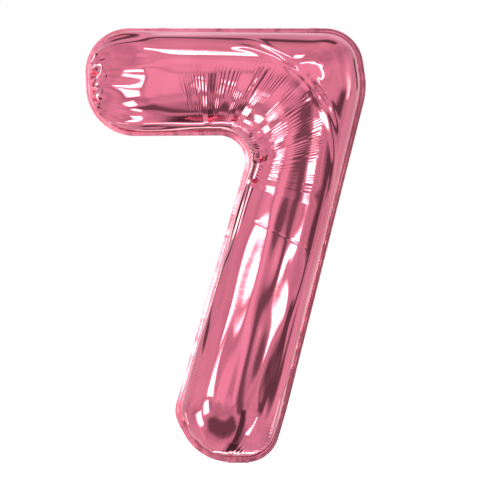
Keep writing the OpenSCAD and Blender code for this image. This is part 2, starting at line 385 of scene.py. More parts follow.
def inflated_film():
    """The front panel's shape at the finest stage, in millimetres, and the sides that it hangs from."""
    corners = [np.array(CORNERS[n][:2]) for n in NAMES]
    round_side = outline(corners, [CORNERS[n][2] for n in NAMES])
    flat_corners = moved_corners(corners, [FLAT_MOVES[n] for n in NAMES])
    flat_side = outline(flat_corners, [FLAT_RADII[n] for n in NAMES])
    chance = np.random.default_rng(7)
    x = None
    for level, steps, push, kept, bend in STAGES[: 3]:
        seam = in_space(plane_grid(round_side, level))
        flat = in_space(plane_grid(flat_side, level))
        arch = round_shape(round_side, level)
        x = arch.copy() if x is None else doubled(x).astype(F)
        x[1:-1, 1:-1] += chance.normal(0, 0.05, x[1:-1, 1:-1].shape).astype(F)
        share = round_share(round_side, level, x.shape[1])
        x = inflate_once(x, flat, arch * F(1 + SLACK), share, seam, steps, push, kept, bend)
    return x.astype(np.float64), round_side, level


# ---------------------------------------------------------------- fine detail on the film

FINE_STATIONS = (60, 36, 520, 210, 60)      # final steps along, in the same five stretches
FINE_ACROSS = 108
RIPPLE_PITCH = 2.8          # of the nook's ripples, at the inner seam
RIPPLE_SHARE = 0.085        # their height over their local pitch
ROUND = 305.0               # length of the film across the tube
WAVE_ALONG, WAVE_ACROSS, WAVE_HEIGHT = 100.0, 19.0, 1.9     # knots of the long waves, and their height
# Ridges beside the stem's outer seam: share across from it, half width as a share, and height
SIDE_RIDGES = ((0.13, 0.020, 0.9), (0.19, 0.022, -0.9), (0.25, 0.024, 0.8))
# Folds in the fan: place along it, half width on the inner seam, depth, and the shares across it reaches
FAN_FOLDS = (
    (0.12, 7.0, 1.6, 0.10, 0.62),
    (0.34, 9.0, -2.2, 0.08, 0.60),
    (0.52, 8.0, 2.4, 0.06, 0.66),
    (0.70, 9.0, -2.0, 0.08, 0.55),
    (0.90, 7.0, 1.8, 0.10, 0.72),
)
# Ridges round it: distance from the nook's centre, half width, height, and the stretch of the fan each spans
ARC_RIDGES = (
    (228.0, 8.0, 1.7, 0.16, 0.95),
    (245.0, 7.0, 1.5, 0.20, 0.42),
    (246.0, 7.0, 1.5, 0.46, 0.74),
)
RIPPLE_REACH = (140.0, 214.0)       # of the ripples from the nook's centre, in the bar and in the fan
# Large facets at the ends: share across, half width, depth, and how far in they reach
BAR_END_FOLDS = (
    (0.28, 17.0, -3.6, 34.0),
    (0.43, 14.0, 4.2, 40.0),
    (0.58, 15.0, -4.2, 36.0),
    (0.73, 15.0, 3.6, 42.0),
)
FOOT_END_FOLDS = ((0.34, 16.0, -2.4, 40.0), (0.50, 13.0, 2.6, 34.0), (0.66, 15.0, -2.4, 38.0))
# Packing creases across the stem: height as a share, the shares across they span, and depth
CROSS_FOLDS = ((0.525, 0.30, 0.80, -0.5), (0.637, 0.42, 0.88, 0.45))
# Ridges that run in from the pleats of the bar's end and of the foot's: pitch, height and reach
BAR_GATHERS, FOOT_GATHERS = (23.0, 6.5, 55.0), (36.0, 3.5, 80.0)
# Fine puckers at the long seams, the bar's end, the foot's end and beside the foot: pitch, height, reach
LONG_PUCKERS, BAR_PUCKERS, FOOT_PUCKERS = (5.0, 1.0, 11.0), (6.0, 0.9, 34.0), (7.0, 1.2, 52.0)
OUTER_FOOT_PUCKERS, KNEE_PUCKERS = (6.0, 1.0, 40.0), (6.0, 1.0, 46.0)


def cubic_at(x, places, axis):
    """A grid read at fractional places along an axis, by a smooth cubic."""
    a = np.moveaxis(x, axis, 0)
    p = np.concatenate([2 * a[:1] - a[1:2], a, 2 * a[-1:] - a[-2:-1]])
    k = np.clip(places.astype(int), 0, len(a) - 2)
    t = (places - k).reshape((-1,) + (1,) * (a.ndim - 1))
    p0, p1, p2, p3 = p[k], p[k + 1], p[k + 2], p[k + 3]
    out = p1 + 0.5 * t * (p2 - p0 + t * (2 * p0 - 5 * p1 + 4 * p2 - p3 + t * (3 * (p1 - p2) + p3 - p0)))
    return np.moveaxis(out, 0, axis)


def fine_places(level):
    """Fractional stations of the final mesh in the simulated grid, their spacing blended."""
    gaps = np.concatenate([np.full(m, n * 2**level / m) for n, m in zip(STATIONS, FINE_STATIONS)])
    found = np.concatenate([[0], np.cumsum(blurred(gaps, 14))])
    return found * sum(STATIONS) * 2**level / found[-1]


def wander(chance, x, pitch, low=-1.0, high=1.0):
    """A smooth random line over x, with a new value every pitch."""
    knots = chance.uniform(low, high, int((x.max() - x.min()) / pitch) + 4)
    t = (x - x.min()) / pitch
    k = t.astype(int)
    f = smooth(t - k)
    return knots[k] * (1 - f) + knots[k + 1] * f


def unit_normals(x):
    n = area_normals(x)
    return n / np.maximum(np.linalg.norm(n, axis=-1, keepdims=True), 1e-9)


def bump(t):
    """A smooth hump from -1 to 1, highest at 0."""
    return np.where(np.abs(t) < 1, np.cos(np.pi * np.clip(t, -1, 1) / 2) ** 2, 0)


def soft_noise(chance, rows_at, cols_at):
    """A smooth random relief of unit size, read at fractional places along two directions."""
    knots = chance.uniform(-1, 1, (int(rows_at.max()) + 3, int(cols_at.max()) + 3))
    return cubic_at(cubic_at(knots, rows_at, 0), cols_at, 1)


def tent(t):
    return np.maximum(0, 1 - np.abs(t))


def long_waves(chance, s, w, marks):
    """Shallow ridges and hollows that run along the bar and the stem."""
    relief = soft_noise(chance, s / WAVE_ALONG, (1 - w) * ROUND / WAVE_ACROSS)
    middle = (marks[2] + marks[3]) / 2
    calm = 1 - 0.85 * bump((s - middle) / 200)
    ends = smooth(s / 60) * smooth((s[-1] - s) / 60)
    sides = smooth(w / 0.12) * smooth((1 - w) / 0.12)
    return WAVE_HEIGHT * relief * (calm * ends)[:, None] * sides[None]


def end_gathers(chance, from_end, w, size):
    """Ridges and hollows that run in from an end's pleats and die out."""
    pitch, height, reach = size
    arc = w * ROUND / pitch
    relief = soft_noise(chance, from_end / 90, arc)
    swell = smooth(from_end / 16) * np.exp(-from_end / reach)
    sides = smooth(w / 0.06) * smooth((1 - w) / 0.06)
    return height * relief * swell[:, None] * sides[None]


def side_ridges(chance, s, w, marks):
    """Narrow ridges along the stem's outer side."""
    out = np.zeros((len(s), len(w)))
    for share, width, height in SIDE_RIDGES:
        line = 1 - share + 0.012 * wander(chance, s, 60.0)
        size = wander(chance, s, 80.0, 0.2, 1.0)
        along = smooth((s - marks[3] + 60) / 60) * smooth((s[-1] - 80 - s) / 60)
        out += height * bump((w[None] - line[:, None]) / width) * (along * size)[:, None]
    return out


def fan_folds(s, w, marks):
    """A few straight creases that run out from the nook, with flat facets between them."""
    out = np.zeros((len(s), len(w)))
    start, end = marks[2], marks[3]
    for turn, width, depth, first, last in FAN_FOLDS:
        here = start + (end - start) * turn
        reach = smooth((w - first) / 0.10) * smooth((last - w) / 0.10)
        out += depth * tent((s - here) / width)[:, None] * reach[None]
    return out


def arc_ridges(chance, s, away, marks):
    """Ridges round the outside of the ripples, where the film turns smooth."""
    out = np.zeros(away.shape)
    turn = (s - marks[2]) / (marks[3] - marks[2])
    for place, width, height, first, last in ARC_RIDGES:
        line = place + 1.4 * wander(chance, s, 14.0)
        along = smooth((turn - first) / 0.08) * smooth((last - turn) / 0.08)
        out += height * bump((away - line[:, None]) / width) * along[:, None]
    return out


def fan_ripples(chance, s, w, away, marks):
    """Height of the fine ripples that fan out from the nook."""
    start, end = marks[2], marks[3]
    phase = s / RIPPLE_PITCH + 0.8 * wander(chance, s, 9.0)
    each = wander(chance, s, RIPPLE_PITCH * 1.3, 0.45, 1.0)
    first = np.interp(s, [start - 30, start + 30], [0.36, 0.19]) + 0.09 * wander(chance, s, 5.0)
    last = np.interp(s, [start - 50, start + 60], RIPPLE_REACH) + 12 * wander(chance, s, 7.0)
    along = smooth((s - start + 44) / 36) * smooth((end - 16 - s) / 30)
    band = smooth((w[None] - first[:, None]) / 0.22) * smooth((last[:, None] - away) / 22)
    local = RIPPLE_PITCH * (1 + 2.4 * w[None])
    wave = np.sin(2 * np.pi * phase)[:, None]
    patches = np.clip(0.55 + 1.1 * soft_noise(chance, s / 9.0, w / 0.12), 0.08, 1.1)
    gentle = 0.45 + 0.55 * smooth(w / 0.45)
    return RIPPLE_SHARE * local * wave * (each * along)[:, None] * band * patches * gentle


def cross_folds(fine, s, w):
    """Straight packing creases across the stem."""
    out = np.zeros((len(s), len(w)))
    middle = fine[:, fine.shape[1] // 2, 2]
    stem = np.arange(len(s)) > len(s) // 2
    for height, first, last, depth in CROSS_FOLDS:
        here = np.interp(-HEIGHT * height, -middle[stem], s[stem])
        reach = smooth((w - first) / 0.03) * smooth((last - w) / 0.03)
        out += depth * tent((s - here) / 3.2)[:, None] * reach[None]
    return out


def seam_puckers(chance, seam_s, distance, size):
    """Fine puckers that run in from a seam and die out."""
    pitch, height, reach = size
    wave = np.sin(2 * np.pi * (seam_s / pitch + 0.6 * wander(chance, seam_s, pitch * 4)))
    each = wander(chance, seam_s, pitch * 1.7, 0.2, 1.0)
    rise = smooth(distance / 1.5) * np.exp(-distance / reach)
    return height * wave * each * rise


def patchy(chance, x, pitch):
    """A share from 0 to 1 that comes and goes along a line."""
    return np.clip(0.45 + 0.9 * wander(chance, x, pitch), 0, 1)


def end_folds(from_end, w, folds):
    """Large facets that run in from a round end."""
    out = np.zeros(from_end.shape)
    for place, half, depth, reach in folds:
        rise = smooth(from_end / 5) * np.exp(-((from_end / reach) ** 2))
        out += depth * tent((w - place) * ROUND / half)[None] * rise
    return out


def from_first(fine):
    """Distance over the film from the grid's first line of points."""
    step = np.linalg.norm(np.diff(fine, axis=0), axis=-1)
    return np.concatenate([np.zeros((1, fine.shape[1])), np.cumsum(step, 0)])


def along_ends(fine):
    """Distance along the bar's end seam and along the foot's, the same at all stations."""
    return [np.broadcast_to(lengths(line)[None], fine.shape[:2]) for line in (fine[0], fine[-1])]


def open_relief(chance, fine, s, w, side):
    """Relief of the film away from its seams: ripples, folds, ridges, waves and gathers."""
    marks, centre = side["inner_marks"], side["nook_centre"]
    away = np.hypot(fine[..., 0] - centre[0], fine[..., 2] - centre[1])
    height = fan_ripples(chance, s, w, away, marks) + fan_folds(s, w, marks) + cross_folds(fine, s, w)
    height = height + arc_ridges(chance, s, away, marks) + long_waves(chance, s, w, marks)
    height = height + end_gathers(chance, s, w, BAR_GATHERS) + side_ridges(chance, s, w, marks)
    return height + end_gathers(chance, s[-1] - s, w, FOOT_GATHERS)


def seam_relief(chance, fine, s, s_outer, w, side):
    """Relief beside the seams: puckers all round, stronger at the ends, and large facets at the ends."""
    marks, outer_marks = side["inner_marks"], side["outer_marks"]
    inner_seam = s[:, None] + np.zeros(fine.shape[1])
    outer_seam = s_outer[:, None] + np.zeros(fine.shape[1])
    from_outer = from_first(fine.swapaxes(0, 1)).T
    from_inner = from_outer[:, -1:] - from_outer
    from_bar, from_foot = from_first(fine), from_first(fine[::-1])[::-1]
    bar_seam, foot_seam = along_ends(fine)
    convex = smooth((s_outer - outer_marks[2] - 150) / 120) * smooth((outer_marks[3] + 40 - s_outer) / 90)
    ends = np.maximum(smooth(1 - s / 70), smooth(1 - (s[-1] - s) / 90))
    foot = smooth((s - marks[4] + 90) / 120)
    knee = bump((s[-1] - s - 70) / 60)
    outer_size = 0.12 + 0.7 * convex + 0.9 * ends + 0.6 * foot
    inner_size = 0.03 + 0.9 * ends + 0.3 * foot
    height = seam_puckers(chance, outer_seam, from_outer, LONG_PUCKERS) * outer_size[:, None]
    height = height + seam_puckers(chance, inner_seam, from_inner, LONG_PUCKERS) * inner_size[:, None]
    height = height + seam_puckers(chance, bar_seam, from_bar, BAR_PUCKERS)
    foot_end = seam_puckers(chance, foot_seam, from_foot, FOOT_PUCKERS)
    height = height + foot_end * patchy(chance, foot_seam, 34.0)
    outer_foot = seam_puckers(chance, outer_seam, from_outer, OUTER_FOOT_PUCKERS)
    height = height + outer_foot * (foot * patchy(chance, s_outer, 30.0))[:, None]
    height = height + seam_puckers(chance, inner_seam, from_inner, KNEE_PUCKERS) * knee[:, None]
    return height + end_folds(from_bar, w, BAR_END_FOLDS) + end_folds(from_foot, w, FOOT_END_FOLDS)


def film_detail(x, side, level, seed):
    """The final grid of one panel: the simulated film read finely, with its ripples and puckers."""
    chance = np.random.default_rng(seed)
    places = fine_places(level)
    across = np.linspace(0, x.shape[1] - 1, FINE_ACROSS + 1)
    fine = cubic_at(cubic_at(x, places, 0), across, 1)
    stations = np.arange(x.shape[0])
    s = np.interp(places, stations, marks_filled(side["inner_marks"], level))
    s_outer = np.interp(places, stations, marks_filled(side["outer_marks"], level))
    w = 1 - np.interp(across, np.arange(x.shape[1]), fractions(level))
    height = open_relief(chance, fine, s, w, side) + seam_relief(chance, fine, s, s_outer, w, side)
    fine = fine + unit_normals(fine) * height[..., None]
    fine[..., 1] = np.minimum(fine[..., 1], 0)
    return fine


# ---------------------------------------------------------------- meshes


def mesh_object(name, points, faces, material):
    mesh = bpy.data.meshes.new(name)
    mesh.from_pydata([tuple(p) for p in np.asarray(points, float) * MM], [], faces)
    mesh.update()
    mesh.shade_smooth()
    mesh.materials.append(material)
    obj = bpy.data.objects.new(name, mesh)
    bpy.context.collection.objects.link(obj)
    return obj


def grid_faces(rows, cols, start=0):
    a = (np.arange(rows - 1)[:, None] * cols + np.arange(cols - 1)[None]).ravel() + start
    return np.stack([a, a + 1, a + cols + 1, a + cols], 1)


def rim_indices(rows, cols):
    """The grid's border, in order round the numeral."""
    return np.concatenate([
        np.arange(rows - 1) * cols,
        (rows - 1) * cols + np.arange(cols - 1),
        np.arange(rows - 1, 0, -1) * cols + cols - 1,
        np.arange(cols - 1, 0, -1),
    ])


FLANGE_HALF = 0.30          # half the thickness of the two films and the seal between them
# The flange from the seam out: reach, how far the crimp line stands up, and its share of the slow waves
FLANGE_ROWS = (
    (1.5, 0.0, 0.2),
    (3.0, 0.35, 0.5),
    (4.0, 0.0, 0.6),
    (7.0, 0.05, 0.9),
    (9.4, 0.0, 1.0),
    (FLANGE, -0.12, 1.0),
)
FLANGE_TURN = 0.30          # how steeply the flange turns back beside the stem's inner seam


def flange_rows(ring, inner, side_sign):
    """Rows of points from the seam to the flange's edge: crimp line, slow waves, turned-back inner side."""
    chance = np.random.default_rng(31)
    way = np.roll(ring, -1, 0) - np.roll(ring, 1, 0)
    out = np.stack([-way[:, 2], 0 * way[:, 0], way[:, 0]], 1)
    out /= np.linalg.norm(out, axis=1)[:, None]
    s = np.concatenate([[0], np.cumsum(np.linalg.norm(np.diff(ring, axis=0), axis=1))])
    wave = 0.55 * wander(chance, s, 13.0) * smooth(np.minimum(s, s[-1] - s) / 20)
    facing_left = blurred(inner * np.maximum(0, -out[:, 0]), 40)
    turn = FLANGE_TURN * facing_left * (0.8 + 0.35 * wander(chance, s, 30.0))
    ripple = 0.10 * np.sin(2 * np.pi * s / 2.6)
    rows = []
    for reach, lift, share in FLANGE_ROWS:
        row = ring + out * reach
        thick = FLANGE_HALF + lift - ripple * (1 if 1.0 < reach < 5 else 0.4)
        row[:, 1] = -side_sign * thick + wave * share + turn * reach
        rows.append(row)
    return rows


def panel(name, node, fine, side_sign, material):
    """One inflated film up to its seam, and the seam's points. side_sign is 1 in front and -1 behind."""
    rows, cols = fine.shape[:2]
    points = fine.reshape(-1, 3).copy()
    points[:, 1] = side_sign * (np.minimum(points[:, 1], 0) - FLANGE_HALF)
    faces = grid_faces(rows, cols)[:, ::side_sign]
    piece = mesh_object(name, points, faces.tolist(), material)
    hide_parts(node)
    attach(piece, "balloon")
    return points[rim_indices(rows, cols)]


def flange(front_seam, back_seam, inner):
    """The films' fused border as one band from seam to seam. inner is 1 on the inner seam."""
    front_rows = [front_seam] + flange_rows(front_seam, inner, 1)
    back_rows = flange_rows(back_seam, inner, -1)
    rows = front_rows + back_rows[::-1] + [back_seam]
    count = len(front_seam)
    here = np.arange(count)
    after = np.roll(here, -1)
    ring = np.stack([here, here + count, after + count, after], 1)
    faces = [ring + k * count for k in range(len(rows) - 1)]
    piece = mesh_object("sealed_flange", np.vstack(rows), np.vstack(faces).tolist(), SEALED)
    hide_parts("seam_seal")
    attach(piece, "balloon")


# ---------------------------------------------------------------- materials


def srgb(r, g, b):
    """A shader's colour from 0 to 255 values well above black."""
    return tuple(((c / 255 + 0.055) / 1.055) ** 2.4 for c in (r, g, b)) + (1.0,)


def new_material(name):
    mat = bpy.data.materials.new(name)
    mat.use_nodes = True
    return mat, mat.node_tree.nodes, mat.node_tree.links


def noise(mat, scale, detail=2.0, place=None):
    """The value of a noise texture, read at a coordinate where one is given."""
    node = mat.node_tree.nodes.new("ShaderNodeTexNoise")
    node.inputs["Scale"].default_value = scale
    node.inputs["Detail"].default_value = detail
    if place:
        mat.node_tree.links.new(place, node.inputs["Vector"])
    return node.outputs["Fac"]


def ranged(mat, value, **bounds):
    """A value mapped from one range to another, by from_min, from_max, to_min and to_max."""
    node = mat.node_tree.nodes.new("ShaderNodeMapRange")
    for name, bound in bounds.items():
        node.inputs[name.replace("_", " ").title()].default_value = bound
    mat.node_tree.links.new(value, node.inputs["Value"])
    return node.outputs["Result"]


def tinted(mat, value, first, last):
    """A colour between two, by a value."""
    node = mat.node_tree.nodes.new("ShaderNodeValToRGB")
    node.color_ramp.elements[0].color = first
    node.color_ramp.elements[1].color = last
    mat.node_tree.links.new(value, node.inputs["Fac"])
    return node.outputs["Color"]


def foil_material(name, light, deep, rough):
    """Metallised film: a mirror with faint streaks of deeper dye, hazy patches and a soft orange peel."""
    mat, nodes, links = new_material(name)
    shader = nodes["Principled BSDF"]
    shader.inputs["Metallic"].default_value = 1.0
    place = nodes.new("ShaderNodeTexCoord").outputs["Object"]
    stretch = nodes.new("ShaderNodeMapping")
    stretch.inputs["Scale"].default_value = (9.0, 9.0, 3.0)
    links.new(place, stretch.inputs["Vector"])
    streaks = noise(mat, 1.6, 4.0, stretch.outputs["Vector"])
    dye = nodes.new("ShaderNodeMix")
    dye.data_type = "RGBA"
    dye.inputs["A"].default_value = deep
    dye.inputs["B"].default_value = light
    links.new(ranged(mat, streaks, from_min=0.35, from_max=0.65), dye.inputs["Factor"])
    links.new(dye.outputs["Result"], shader.inputs["Base Color"])
    haze = noise(mat, 26.0, 5.0, place)
    links.new(ranged(mat, haze, to_min=rough * 0.75, to_max=rough * 1.5), shader.inputs["Roughness"])
    relief = nodes.new("ShaderNodeBump")
    relief.inputs["Strength"].default_value = 0.10
    relief.inputs["Distance"].default_value = 0.0006
    links.new(noise(mat, 55.0, 2.0, place), relief.inputs["Height"])
    links.new(relief.outputs["Normal"], shader.inputs["Normal"])
    return mat


def clear_film_material():
    """Clear polyethylene of the valve, slightly cloudy."""
    mat, nodes, links = new_material("valve_film")
    shader = nodes["Principled BSDF"]
    shader.inputs["Alpha"].default_value = 0.6
    cloud = noise(mat, 60.0)
    links.new(tinted(mat, cloud, srgb(222, 228, 236), srgb(244, 246, 250)), shader.inputs["Base Color"])
    links.new(ranged(mat, cloud, to_min=0.22, to_max=0.42), shader.inputs["Roughness"])
    return mat


def ink_material():
    """Matt release ink, a fine halftone of grey dots."""
    mat, nodes, links = new_material("release_ink")
    shader = nodes["Principled BSDF"]
    shader.inputs["Roughness"].default_value = 0.8
    dots = nodes.new("ShaderNodeTexVoronoi")
    dots.inputs["Scale"].default_value = 900.0
    tone = tinted(mat, dots.outputs["Distance"], srgb(150, 158, 170), srgb(205, 210, 218))
    links.new(tone, shader.inputs["Base Color"])
    return mat


FOIL = foil_material("foil", srgb(210, 112, 136), srgb(203, 105, 129), 0.05)
SEALED = foil_material("sealed_flange", srgb(216, 124, 146), srgb(200, 104, 127), 0.20)

# ---------------------------------------------------------------- the panels

film, film_side, film_level = inflated_film()
front_fine = film_detail(film, film_side, film_level, 11)
back_fine = film_detail(film, film_side, film_level, 23)
front_seam = panel("front_film", "front_foil", front_fine, 1, FOIL)
back_seam = panel("back_film", "back_foil", back_fine, -1, FOIL)
stations, rows_across = front_fine.shape[0] - 1, front_fine.shape[1] - 1
flange(front_seam, back_seam, np.repeat([0.0, 1.0, 0.0], [stations + rows_across, stations, rows_across]))

# ---------------------------------------------------------------- tail and hanging tabs

FOLD_DROP = 1.2             # of the tail's fold below the flange's edge
TAIL_R = TUBE_R + FLANGE + FOLD_DROP        # of the curve that the folded tail follows
TAIL_LENGTH, TAIL_SEAM = 95.0, 5.0
TAIL_HALF = float(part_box("tail_front_foil")[1][0]) / MM
INLET_AT, INLET_R = 66.0, 4.0               # the straw's hole: its distance from the fold, and radius
ROOT = 7.0                  # length of a strip that lies on the flange before it folds
TAB_LIFT = 0.6              # of a tab's middle above the flange's edge
TAB_HALF, TAB_LENGTH, TAB_CORNER = 8.0, 18.0, 5.0
TAB_HOLE_AT, TAB_HOLE_R = 10.0, 2.5
STRAIGHT = 1e6              # radius of a strip that doesn't curve


def folded_strip(u, v, lift, turn_r, back_r):
    """Points of a strip that leaves an edge at z = 0 downwards and folds back.

    u runs along it and v across, and lift is the height off its middle layer.
    """
    quarter = turn_r * math.pi / 2
    t = np.clip(u / turn_r, 0, math.pi / 2)
    e = math.asin(turn_r / back_r) + np.maximum(u - quarter, 0) / back_r
    back = u > quarter
    y = np.where(back, (back_r + lift) * np.sin(e), turn_r - (turn_r + lift) * np.cos(t))
    folding = (turn_r + lift) * np.sin(t) + np.minimum(u, 0)
    down = np.where(back, turn_r - back_r + (back_r + lift) * np.cos(e), folding)
    return np.stack([v + 0 * u, y, -down], -1)


def strip_places(length, turn_r, steps):
    """Distances along a strip, close together where it folds."""
    quarter = turn_r * math.pi / 2
    root, fold = np.linspace(-ROOT, 0, 6), np.linspace(0, quarter, 7)
    return np.concatenate([root[:-1], fold[:-1], np.linspace(quarter, length, steps)])


def crumpled(chance, u, v, relief, creases):
    """Height of limp film over its smooth place: soft waves and a few straight creases."""
    out = relief * soft_noise(chance, (u - u[0]) / 9.0, (v - v[0]) / 7.0)
    for _ in range(creases):
        turn = chance.uniform(0.5, 2.6)
        middle_u, middle_v = chance.uniform(u[0], u[-1]), chance.uniform(v[0], v[-1])
        away = (u[:, None] - middle_u) * math.sin(turn) + (v[None] - middle_v) * math.cos(turn)
        out = out + chance.uniform(-0.4, 0.4) * tent(away / 1.8)
    return out * smooth(u / 10)[:, None]


def punched(u, v, faces, place, radius, spacing):
    """A sheet with a round hole: near points moved to its edge, and the faces outside it."""
    away = np.hypot(u - place, v)
    near = away < radius + spacing / 2
    grow = np.where(near, radius / np.maximum(away, 1e-6), 1)
    return place + (u - place) * grow, v * grow, faces[~near.ravel()[faces].all(1)]


def thin_piece(name, low, high, faces, material):
    """A closed piece between two layers of points that share their faces."""
    used = np.unique(faces)
    number = np.zeros(low.size // 3, int)
    number[used] = np.arange(len(used))
    faces, count = number[faces], len(used)
    edges = np.concatenate([faces[:, [k, (k + 1) % 4]] for k in range(4)])
    rim = edges[~np.isin(edges @ (count, 1), edges @ (1, count))]
    sides = np.stack([rim[:, 1] + count, rim[:, 0] + count, rim[:, 0], rim[:, 1]], 1)
    points = np.vstack([low.reshape(-1, 3)[used], high.reshape(-1, 3)[used]])
    piece = mesh_object(name, points, np.vstack([faces[:, ::-1], faces + count, sides]).tolist(), material)
    form = bmesh.new()
    form.from_mesh(piece.data)
    bmesh.ops.recalc_face_normals(form, faces=form.faces)
    form.to_mesh(piece.data)
    form.free()
    return piece


def on_tail(piece, node):
    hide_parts(node)
    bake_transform(piece)


def tail_film(name, node, side, seed, hole):
    """One of the tail's films, bulging between its sealed edges. side is 1 outside the folded tail."""
    chance = np.random.default_rng(seed)
    u1 = strip_places(TAIL_LENGTH, FOLD_DROP, 76)
    half = TAIL_HALF - TAIL_SEAM + 0.6
    v1 = np.linspace(-half, half, 31)
    u, v = np.meshgrid(u1, v1, indexing="ij")
    faces = grid_faces(*u.shape)
    bulge = (0.9 if side > 0 else 0.35) * (1 - (v1 / half) ** 2) * smooth(u1 / 14)[:, None]
    height = side * (0.32 + bulge) + (0.6 if side > 0 else 0.35) * crumpled(chance, u1, v1, 0.5, 9)
    height = np.maximum(side * height, 0.28) * side
    if hole:
        u, v, faces = punched(u, v, faces, INLET_AT, INLET_R, v1[1] - v1[0])
    low = folded_strip(u, v, height - 0.05, FOLD_DROP, TAIL_R)
    high = folded_strip(u, v, height + 0.05, FOLD_DROP, TAIL_R)
    on_tail(thin_piece(name, low, high, faces, FOIL), node)


def tail_edges():
    """The two crimped edges that seal the tail's films together."""
    u1 = strip_places(TAIL_LENGTH, FOLD_DROP, 150)
    low, high, faces = [], [], []
    for side in (-1, 1):
        v1 = side * np.linspace(TAIL_HALF - TAIL_SEAM, TAIL_HALF, 6)
        u, v = np.meshgrid(u1, v1, indexing="ij")
        crimp = 0.10 * np.sin(2 * np.pi * u / 2.2) * smooth(u / 4)
        outwards = (side * v - TAIL_HALF) / TAIL_SEAM + 1
        curl = 0.25 * wander(np.random.default_rng(41 + side), u1, 14.0)[:, None] * outwards
        faces.append(grid_faces(*u.shape)[:, ::side] + len(low) * u.size)
        low.append(folded_strip(u, v, crimp + curl - 0.3, FOLD_DROP, TAIL_R))
        high.append(folded_strip(u, v, crimp + curl + 0.3, FOLD_DROP, TAIL_R))
    piece = thin_piece("tail_sealed_edges", np.stack(low), np.stack(high), np.vstack(faces), SEALED)
    on_tail(piece, "tail_seal")


def hang_tab(name, node, seed):
    """A punched tab of film that leaves the top flange and lies folded back."""
    lowest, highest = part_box(node)
    middle = (lowest[0] + highest[0]) / 2 / MM
    chance = np.random.default_rng(seed)
    u1 = strip_places(TAB_LENGTH, TAB_LIFT, 28)
    past = np.clip(u1 - (TAB_LENGTH - TAB_CORNER), 0, TAB_CORNER)
    half = TAB_HALF - TAB_CORNER + np.sqrt(TAB_CORNER**2 - past**2)
    v1 = np.linspace(-1, 1, 25)
    u, v = u1[:, None] + 0 * v1, half[:, None] * v1
    u, v, faces = punched(u, v, grid_faces(*u.shape), TAB_HOLE_AT, TAB_HOLE_R, TAB_HALF / 12)
    height = 0.35 * crumpled(chance, u1, v1 * TAB_HALF, 0.6, 3)
    flip = np.array([1, 1, -1])
    low = folded_strip(u, v, height - 0.2, TAB_LIFT, STRAIGHT) * flip + (middle, 0, HEIGHT)
    high = folded_strip(u, v, height + 0.2, TAB_LIFT, STRAIGHT) * flip + (middle, 0, HEIGHT)
    piece = thin_piece(name, low, high, faces, SEALED)
    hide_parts(node)
    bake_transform(piece)


tail_film("tail_outer_film", "tail_front_foil", 1, 51, hole=True)
tail_film("tail_inner_film", "tail_back_foil", -1, 52, hole=False)
tail_edges()
hang_tab("left_tab_film", "hang_tab_left", 61)
hang_tab("right_tab_film", "hang_tab_right", 62)

# ---------------------------------------------------------------- carried-over nodes


def finish_node(name, material):
    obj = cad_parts[name]
    obj.data.materials.clear()
    obj.data.materials.append(material)


VALVE = clear_film_material()
for name in ("valve_sleeve_front", "valve_sleeve_back", "valve_mouth_front", "valve_mouth_back"):
    finish_node(name, VALVE)
finish_node("valve_release_print", ink_material())

# ---------------------------------------------------------------- stage and light


BOX_TINT = (0.95, 1.1, 0.86, 1)     # a touch green, so that bright reflections in pink foil come out white


def card(name, azimuth, elevation, away, size, level, soft=0.3, target=(0, 0, 0.45), roll=0):
    """A studio card that only reflections see. It shines at a level, and its edges fade away."""
    w, h = size[0] / 2, size[1] / 2
    mesh = bpy.data.meshes.new(name)
    mesh.from_pydata([(-w, -h, 0), (w, -h, 0), (w, h, 0), (-w, h, 0)], [], [(0, 1, 2, 3)])
    mat, nodes, links = new_material(name)
    nodes.clear()
    split = nodes.new("ShaderNodeSeparateXYZ")
    links.new(nodes.new("ShaderNodeTexCoord").outputs["Object"], split.inputs["Vector"])
    fades = []
    for axis, half in (("X", w), ("Y", h)):
        flat = nodes.new("ShaderNodeMath")
        flat.operation = "ABSOLUTE"
        links.new(split.outputs[axis], flat.inputs[0])
        fade = nodes.new("ShaderNodeMapRange")
        fade.interpolation_type = "SMOOTHSTEP"
        fade.inputs["From Min"].default_value = half
        fade.inputs["From Max"].default_value = half - soft * 2 * min(w, h)
        links.new(flat.outputs["Value"], fade.inputs["Value"])
        fades.append(fade)
    both = nodes.new("ShaderNodeMath")
    both.operation = "MULTIPLY"
    links.new(fades[0].outputs["Result"], both.inputs[0])
    links.new(fades[1].outputs["Result"], both.inputs[1])
    glow = nodes.new("ShaderNodeEmission")
    glow.inputs["Color"].default_value = BOX_TINT if level > 2 else (1, 1, 1, 1)
    glow.inputs["Strength"].default_value = level
    clear = nodes.new("ShaderNodeBsdfTransparent")
    cover = nodes.new("ShaderNodeMixShader")
    links.new(both.outputs["Value"], cover.inputs["Fac"])
    links.new(clear.outputs["BSDF"], cover.inputs[1])
    links.new(glow.outputs["Emission"], cover.inputs[2])
    out = nodes.new("ShaderNodeOutputMaterial")
    links.new(cover.outputs["Shader"], out.inputs["Surface"])
    mesh.materials.append(mat)
    obj = bpy.data.objects.new(name, mesh)
    obj.location = around(azimuth, elevation, away, target)
    facing = (Vector(target) - obj.location).to_track_quat("Z", "Y")
    obj.rotation_euler = (facing @ Quaternion((0, 0, 1), math.radians(roll))).to_euler()
    only_in_reflections(obj)


